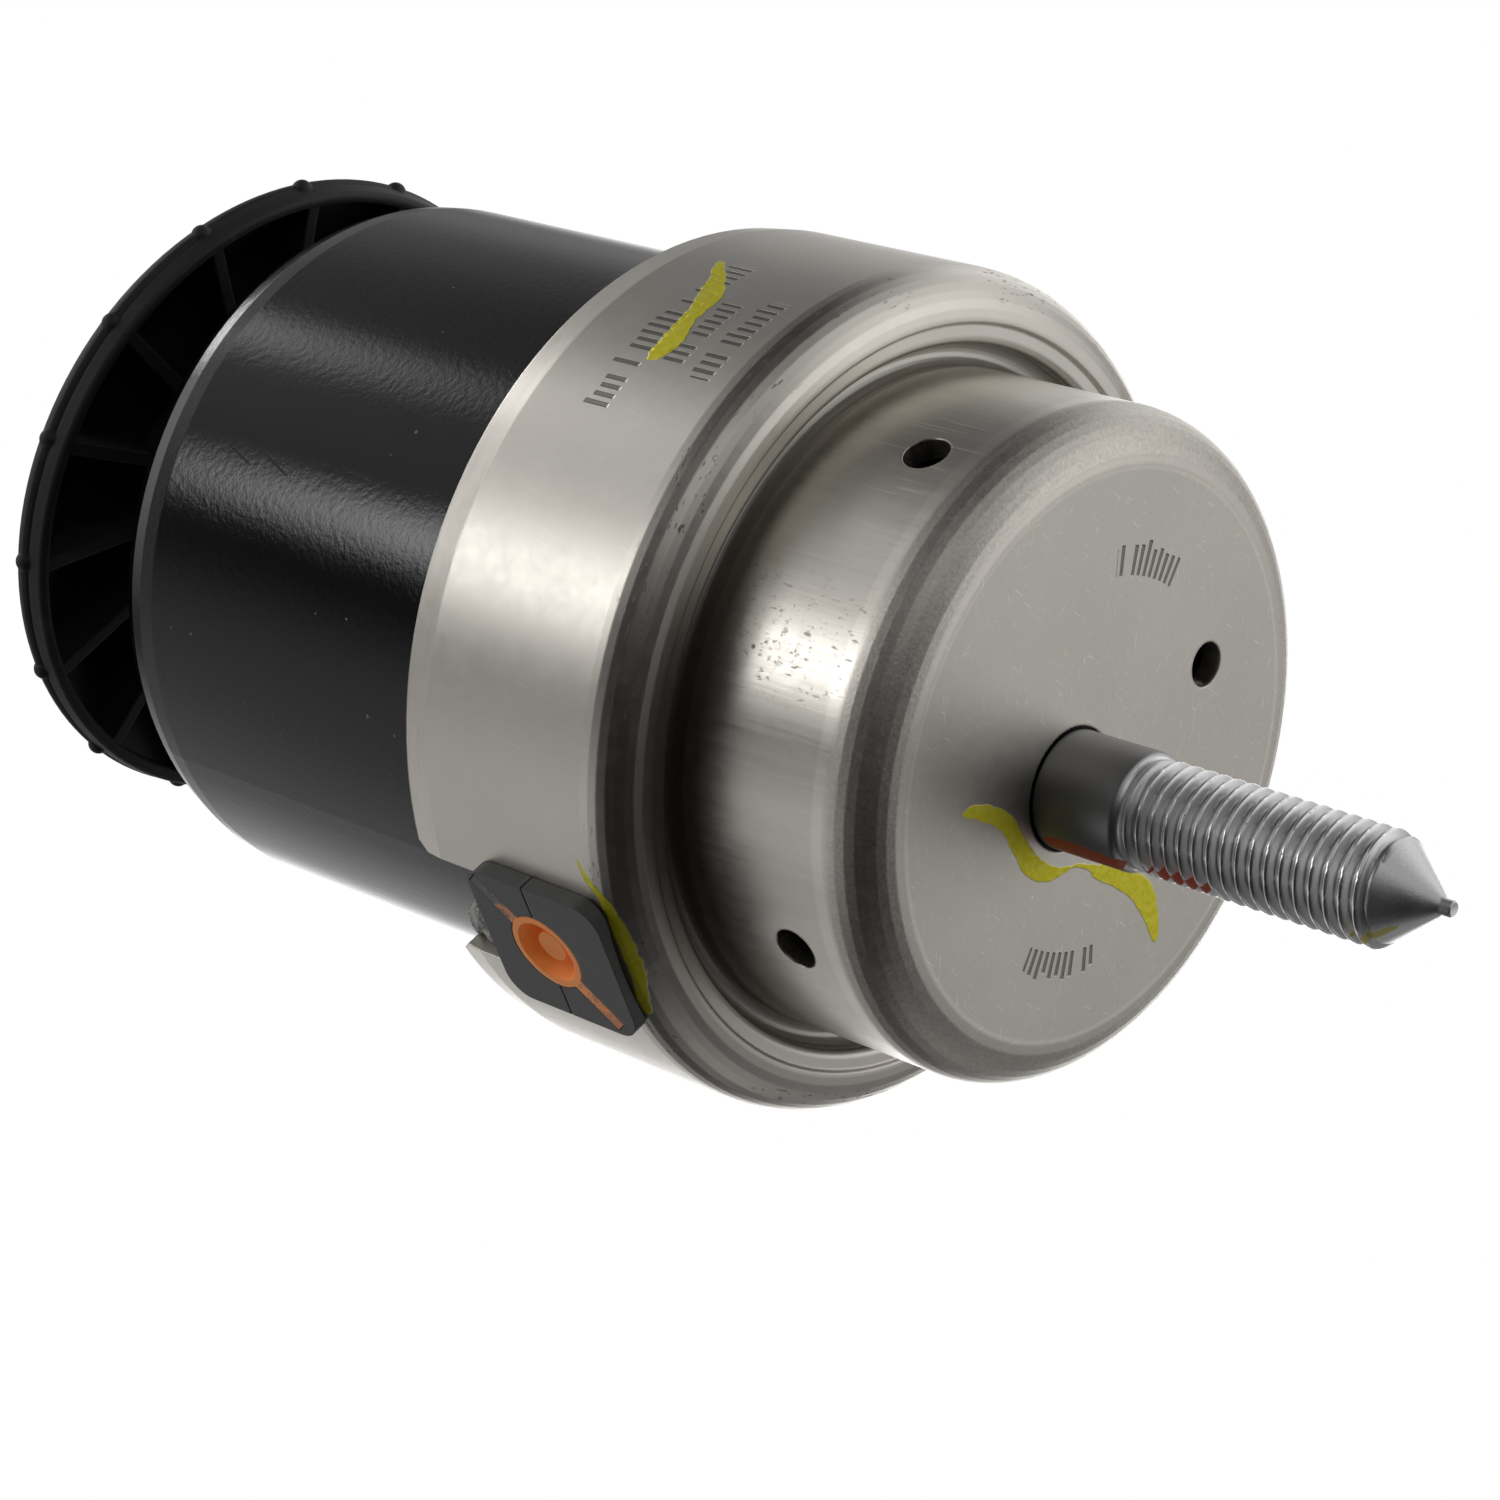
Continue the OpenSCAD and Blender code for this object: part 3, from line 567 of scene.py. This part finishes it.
def threadRadius(height, turn):
    below = stud["shankEnd"] - height
    fade = min(max((below - 0.5) / 1.6, 0.0), 1.0)
    radius = stud["crestR"] - stud["depth"] * threadDepth(height, turn) * fade
    radius -= 0.25 * (1 - fade) * min(below / 0.4, 1.0)
    left = height - stud["threadEnd"]
    if left < 0.5:
        radius = min(radius, stud["pointR"] + (stud["crestR"] - stud["pointR"]) * left / 0.5)
    return radius


def studRows():
    # rows of height and radius, from the head's middle down to the tip; a radius may depend on the turn
    head, shank, end = stud["headR"], stud["shankR"], stud["shankEnd"]
    rows = [(stud["headTop"], 0.01), (stud["headTop"], head - 0.4), (stud["headTop"] - 0.4, head),
            (stud["headLow"], head), (stud["headLow"], stud["pilotR"]), (0.0, stud["pilotR"]),
            (0.0, shank), (-0.3, shank), (-5.0, shank), (end + 0.5, shank),
            (end + 0.15, shank - 0.12), (end, stud["crestR"])]
    length = end - stud["threadEnd"]
    count = round(length / stud["pitch"] * stud["perPitch"])
    for i in range(1, count + 1):
        rows.append((end - length * i / count, threadRadius))
    cone = stud["threadEnd"] - stud["pointEnd"]
    tip, tipEnd = stud["tipR"], stud["tipEnd"]
    for share in (0.04, 0.1, 0.25, 0.5, 0.75, 0.95):
        rows.append((stud["threadEnd"] - cone * share, stud["pointR"] + (tip - stud["pointR"]) * share))
    rows += [(stud["pointEnd"], tip), (tipEnd + 0.18, tip),
             (tipEnd, tip - 0.16), (tipEnd + 0.08, 0.3), (tipEnd + 0.1, 0.01)]
    return rows


def studMesh(name):
    count = stud["around"]
    verts = []
    for height, radius in studRows():
        for i in range(count):
            turn = 2 * math.pi * i / count
            reach = radius(height, turn) if callable(radius) else radius
            verts.append((reach * math.cos(turn) * mm, reach * math.sin(turn) * mm, height * mm))
    rings = len(verts) // count
    faces = []
    for row in range(rings - 1):
        for i in range(count):
            a, b = row * count + i, row * count + (i + 1) % count
            faces.append((a, a + count, b + count, b))
    faces.append(tuple(range(count)))
    faces.append(tuple(reversed(range((rings - 1) * count, rings * count))))
    mesh = bpy.data.meshes.new(name)
    mesh.from_pydata(verts, [], faces)
    mesh.shade_smooth()
    mesh.set_sharp_from_angle(angle=math.radians(50))
    piece = bpy.data.objects.new(name, mesh)
    bpy.context.scene.collection.objects.link(piece)
    return piece


def studLook():
    look = Look("studSteel", (0, 0, 0))
    z, r, turn = look.z, look.r, look.turn
    onShank = look.ramp(z, stud["shankEnd"] - 0.2, stud["shankEnd"] + 0.3)
    onPoint = look.ramp(z, stud["threadEnd"] + 0.1, stud["threadEnd"] - 0.1)
    crest = look.ramp(r, 5.7, 5.95) * (1.0 - onShank) * (1.0 - onPoint)
    root = look.ramp(r, 5.25, 5.0) * (1.0 - onPoint)
    blotches = look.noise(3.5, 4, 0.65) - 0.5
    turned = look.noise(0.2, 2, 0.6, spot=look.joined(z * 0.6 + r, turn * 0.03, 0.0)) - 0.5
    nicks = look.ramp(look.noise(0.35, 2, 0.6, shift=5), 0.66, 0.72) * crest
    # crests are painted lighter and roots darker: painted highlight on the crests, painted shade in the
    # roots
    tone = 1.0 + blotches * 0.3 + turned * onPoint * 0.35 + crest * 0.18 - root * 0.25
    steel = look.mix(onShank, stud["steel"], stud["shankSteel"])
    base = look.tinted(steel, tone)
    seam = look.band(z, -0.14, 0.3, 0.05)
    base = look.mix(seam, base, (0.01, 0.01, 0.01))
    base = look.mix(nicks * 0.7, base, (0.06, 0.06, 0.06))

    # the line of the stud that is lowest in the photo carries the red paint
    side = math.radians(stud["paintTurn"])
    c, s = math.cos(side), math.sin(side)
    arc = look.math("ARCTAN2", look.y * c - look.x * s, look.x * c + look.y * s) * stud["shankR"]
    red = look.stroke(z, arc, stud["streak"], 0.35)
    yellow = look.stroke(z, arc, stud["trace"], 0.5) * 0.7
    base = look.mix(yellow, look.mix(red * 0.92, base, stud["red"]), stud["yellow"])
    paint = look.most(red, yellow)
    roughness = 0.44 + blotches * 0.2 + onShank * 0.04 - crest * 0.12 + paint * 0.1
    height = turned * onPoint * 0.02 + blotches * 0.01 - nicks * 0.05
    return look.shade({"Base Color": base, "Metallic": 1.0 - paint * 0.95, "Roughness": roughness,
                       "Normal": look.bump(height)})


studSteel = studLook()
coated(stud["node"], studSteel)
threadedStud = studMesh("threaded_stud")
threadedStud.data.materials.append(studSteel)
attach(threadedStud, "root")
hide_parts(stud["node"])
print("stud threaded")


# Side pad: two dark plastic halves held by an orange plug

pad = {
    "halves": ["side_plate_upper", "side_plate_lower"],
    "plastic": (0.085, 0.085, 0.085),
    "plug": "side_plug", "post": "side_plug_pin",
    # the deep orange is the plug's colour painted darker in its recess: painted shade
    "orange": (1.0, 0.33, 0.07), "deep": (0.6, 0.15, 0.02), "ash": (0.6, 0.26, 0.1),
    "glow": 0.12,                  # painted glow: emission that brightens the orange, though the plug is no lamp
    "face": 48.1, "height": 37.4,
}


def padLook():
    look = Look("padPlastic")
    grain = look.noise(0.3, 2, 0.6) - 0.5
    rubs = look.noise(3, 4, 0.7)
    base = look.tinted(pad["plastic"], 0.9 + rubs * 0.2 + grain * 0.12)
    pale = look.most(look.specks(2.6, 0.12, 0.4), look.scratches(look.y, look.z, 40, 3.0, 0.12, 0.74, 2.2))
    base = look.mix(pale * 0.5, base, (0.25, 0.24, 0.22))
    return look.shade({"Base Color": base, "Roughness": 0.5 + grain * 0.2,
                       "Normal": look.bump(grain * 0.01, look.rounded(0.2))})


def plugLook():
    look = Look("plugPlastic")
    up, across = look.z - pad["height"], look.y
    away = look.math("SQRT", up * up + across * across)
    inside = look.ramp(look.x, pad["face"] - 0.1, pad["face"] - 2.2) * look.ramp(away, 4.1, 3.8)
    onArm = look.ramp(away, 4.7, 4.9)
    upper = look.ramp(up, 0.5, 1.5) * onArm
    patch = look.noise(1.3, 4, 0.7)
    worn = look.ramp(patch - away * 0.02, 0.44, 0.3) * onArm * 0.5
    worn = look.most(worn, look.ramp(patch + away * 0.035, 0.62, 0.76) * upper)
    worn = look.most(worn, look.ramp(away, 8.6, 10.4) * upper)
    # the recess round the post is painted a deeper orange: painted shade
    base = look.mix(inside * 0.6, pad["orange"], pad["deep"])
    base = look.mix(look.ramp(patch, 0.5, 0.7) * 0.35, base, pad["ash"])
    base = look.mix(worn, base, pad["plastic"])
    grain = look.noise(0.4, 2, 0.6) - 0.5
    # the emission is painted light: the orange glows though the plug is no lamp
    return look.shade({"Base Color": base, "Roughness": 0.5 + grain * 0.1,
                       "Emission Color": base, "Emission Strength": pad["glow"],
                       "Normal": look.bump(grain * 0.02, look.rounded(0.2))})


padPlastic, plugPlastic = padLook(), plugLook()
for half in pad["halves"]:
    coated(half, padPlastic)
for name in (pad["plug"], pad["post"]):
    coated(name, plugPlastic)
print("side pad coated")


# Tack weld: rough bright metal between can and ring

weld = {
    "node": "tack_weld",
    "metal": (0.8, 0.79, 0.76), "dark": (0.08, 0.08, 0.075),
    "grain": 0.16, "lumpSize": 1.1, "lumpHeight": 0.7,    # millimetres
}


def weldLook():
    look = Look("weldMetal")
    lumps = look.noise(0.8, 4, 0.65)
    fine = look.noise(0.22, 3, 0.7)
    base = look.tinted(weld["metal"], 0.35 + lumps * 0.5 + fine * 0.5)
    base = look.mix(look.ramp(fine, 0.46, 0.34), base, weld["dark"])
    return look.shade({"Base Color": base, "Metallic": 0.6, "Roughness": 0.26 + fine * 0.2,
                       "Normal": look.bump(lumps * 0.6 + fine * 0.35)})


def roughen(name):
    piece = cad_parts[name]
    grain = piece.modifiers.new("grain", "REMESH")
    grain.mode = "VOXEL"
    grain.voxel_size = weld["grain"] * mm
    texture = bpy.data.textures.new("weldLumps", "CLOUDS")
    texture.noise_scale = weld["lumpSize"] * mm
    texture.noise_depth = 3
    lumps = piece.modifiers.new("lumps", "DISPLACE")
    lumps.texture = texture
    lumps.mid_level = 1.0
    lumps.strength = weld["lumpHeight"] * mm


coated(weld["node"], weldLook())
roughen(weld["node"])
print("weld roughened")


# Pieces inside: cast core, plain steel rings, alloy plates and black rubber

inner = {
    "castCore": {
        "nodes": ["core"],
        "color": (0.33, 0.33, 0.335), "roughness": 0.5, "metallic": 0.9, "grain": 0.6, "deep": 0.05},
    "innerSteel": {
        "nodes": ["spring_ring", "bellows_ring", "cover_retainer", "locating_pin"],
        "color": (0.5, 0.5, 0.51), "roughness": 0.38, "metallic": 1.0, "grain": 0.5, "deep": 0.006},
    "plateAlloy": {
        "nodes": ["track_lower", "track_upper"],
        "color": (0.65, 0.66, 0.68), "roughness": 0.45, "metallic": 1.0, "grain": 0.8, "deep": 0.02},
}
rubberInside = {
    "nodes": ["main_spring", "rebound_bumper", "decoupler", "track_seal", "bellows"],
    "color": (0.022, 0.022, 0.022),
}


def metalLook(name, spec):
    look = Look(name)
    grain = look.noise(spec["grain"], 3, 0.6) - 0.5
    blotches = look.noise(9, 3, 0.6) - 0.5
    base = look.tinted(spec["color"], 1.0 + grain * 0.25 + blotches * 0.3)
    return look.shade({"Base Color": base, "Metallic": spec["metallic"],
                       "Roughness": spec["roughness"] + grain * 0.15 + blotches * 0.1,
                       "Normal": look.bump(grain * spec["deep"], look.rounded(0.3))})


for name, spec in inner.items():
    metal = metalLook(name, spec)
    for node in spec["nodes"]:
        coated(node, metal)
innerRubber = rubberLook("innerRubber", rubberInside["color"])
for node in rubberInside["nodes"]:
    coated(node, innerRubber)
print("inner pieces coated")
